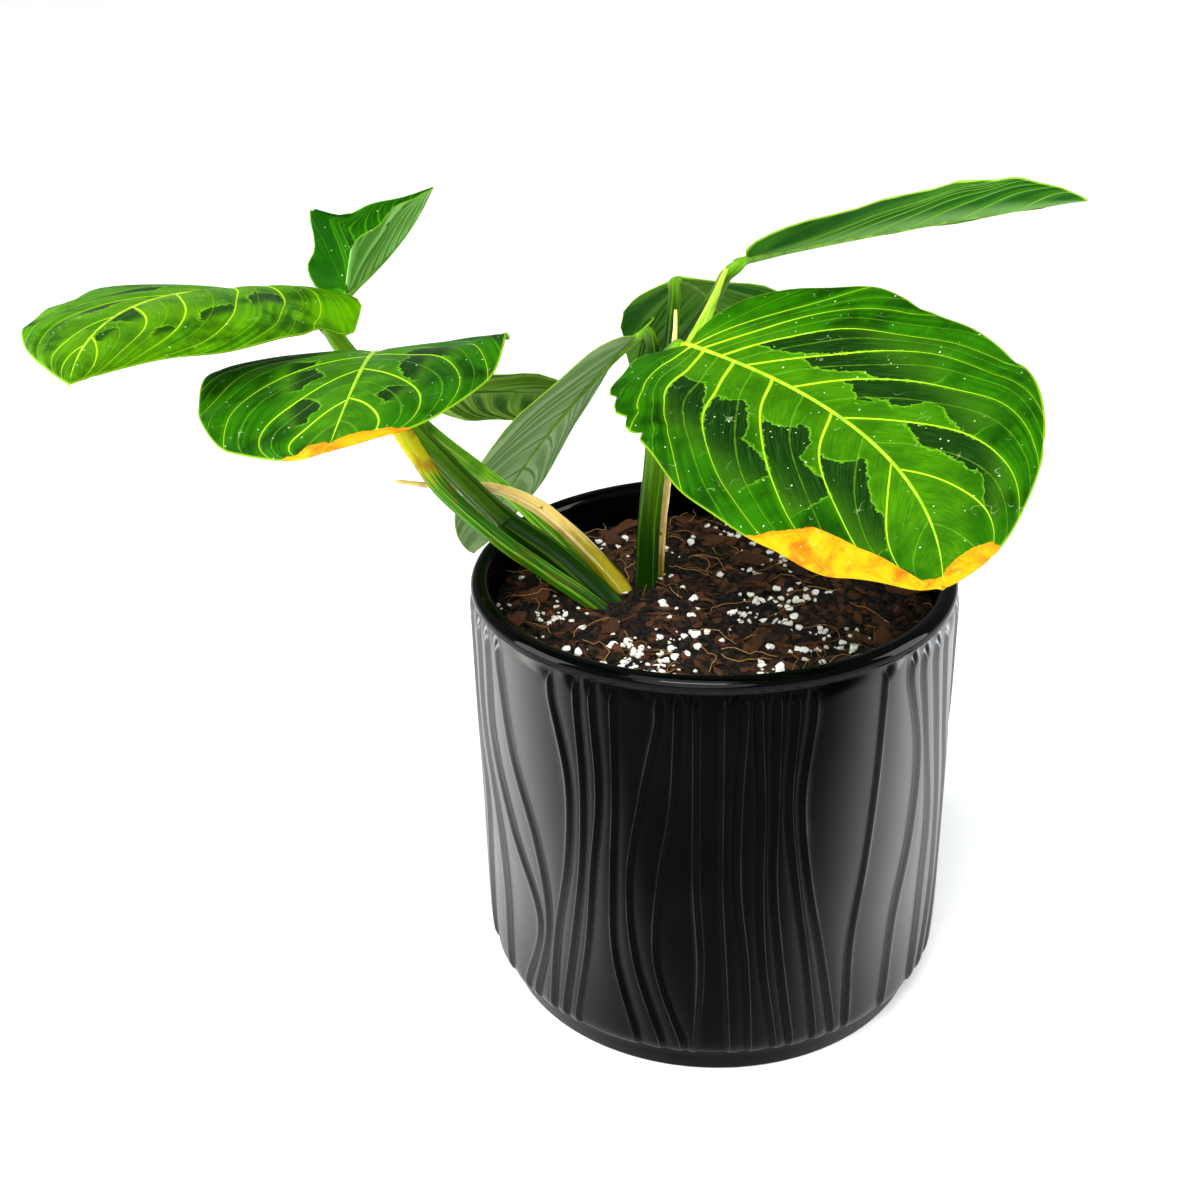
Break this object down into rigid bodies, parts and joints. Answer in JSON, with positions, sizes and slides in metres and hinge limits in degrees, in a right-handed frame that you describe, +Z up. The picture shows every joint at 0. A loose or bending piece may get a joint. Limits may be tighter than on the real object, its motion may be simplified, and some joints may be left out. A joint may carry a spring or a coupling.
{
  "type": "potted prayer plant",
  "caption": "Prayer plant with broad patterned leaves on two leaning shoots, in a black ceramic cylinder pot with flowing raised laps.",
  "frame": {"origin": "centre of the pot's foot, on the surface that the pot stands on", "axes": "+Z up, -Y towards the front that the picture shows, +X along the widest spread of the leaves"},
  "size_m": [0.2636, 0.2124, 0.2126],
  "materials": {
    "pot_ceramic": "satin",
    "potting_mix": "matte",
    "leaf_green": "satin",
    "leaf_underside": "matte",
    "stem_green": "satin",
    "sheath_green": "satin",
    "sheath_tan": "matte",
    "new_leaf": "satin"
  },
  "bodies": {
    "root": {"pot": "pot_ceramic", "potting_mix": "potting_mix", "shoot_left": "stem_green", "shoot_centre": "stem_green", "sheath_lower": "sheath_green", "sheath_winged": "sheath_green", "sheath_dry_left": "sheath_tan", "sheath_dry_centre": "sheath_tan", "sheath_tip": "sheath_tan", "new_leaf": "new_leaf", "blade_front_right": "leaf_green", "blade_mid_left": "leaf_green", "blade_far_left": "leaf_green", "blade_upper_left": "leaf_green", "blade_top_right": "leaf_underside", "blade_hanging": "leaf_underside", "blade_back": "leaf_underside", "blade_behind_left": "leaf_underside"}
  },
  "joints": []
}
